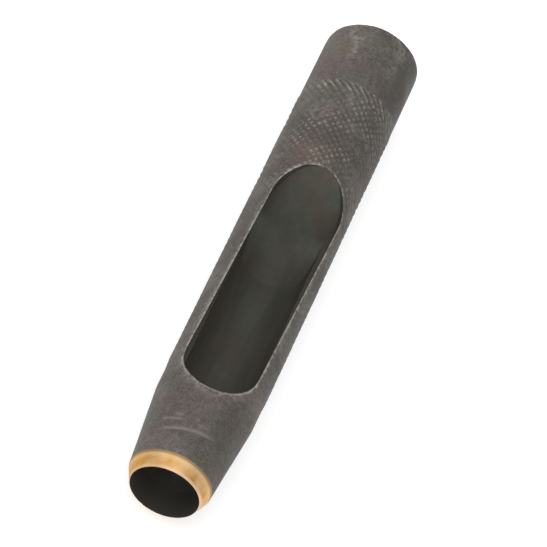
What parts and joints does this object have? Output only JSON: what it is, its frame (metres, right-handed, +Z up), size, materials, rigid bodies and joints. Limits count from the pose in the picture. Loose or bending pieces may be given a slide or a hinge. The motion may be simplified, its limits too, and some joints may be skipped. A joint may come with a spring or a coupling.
{
  "type": "drive hole punch",
  "caption": "Drive punch for cutting round holes in leather: bevelled cutting ring, bored and knurled barrel with a slug window, and a solid head for a mallet.",
  "frame": {"origin": "on the resting surface, under the middle of the punch as it lies on its side", "axes": "+X along the punch from the cutting edge to the striking face, +Z up and out through the slug window"},
  "size_m": [0.115, 0.0192, 0.0191],
  "materials": {
    "edge_steel": "ground bevel with a golden temper colour, satin",
    "oxide_steel": "dark oiled oxide, matt, mottled brown and grey"
  },
  "bodies": {
    "root": {"cutting_ring": "edge_steel", "barrel": "oxide_steel", "striking_head": "oxide_steel"}
  },
  "joints": []
}
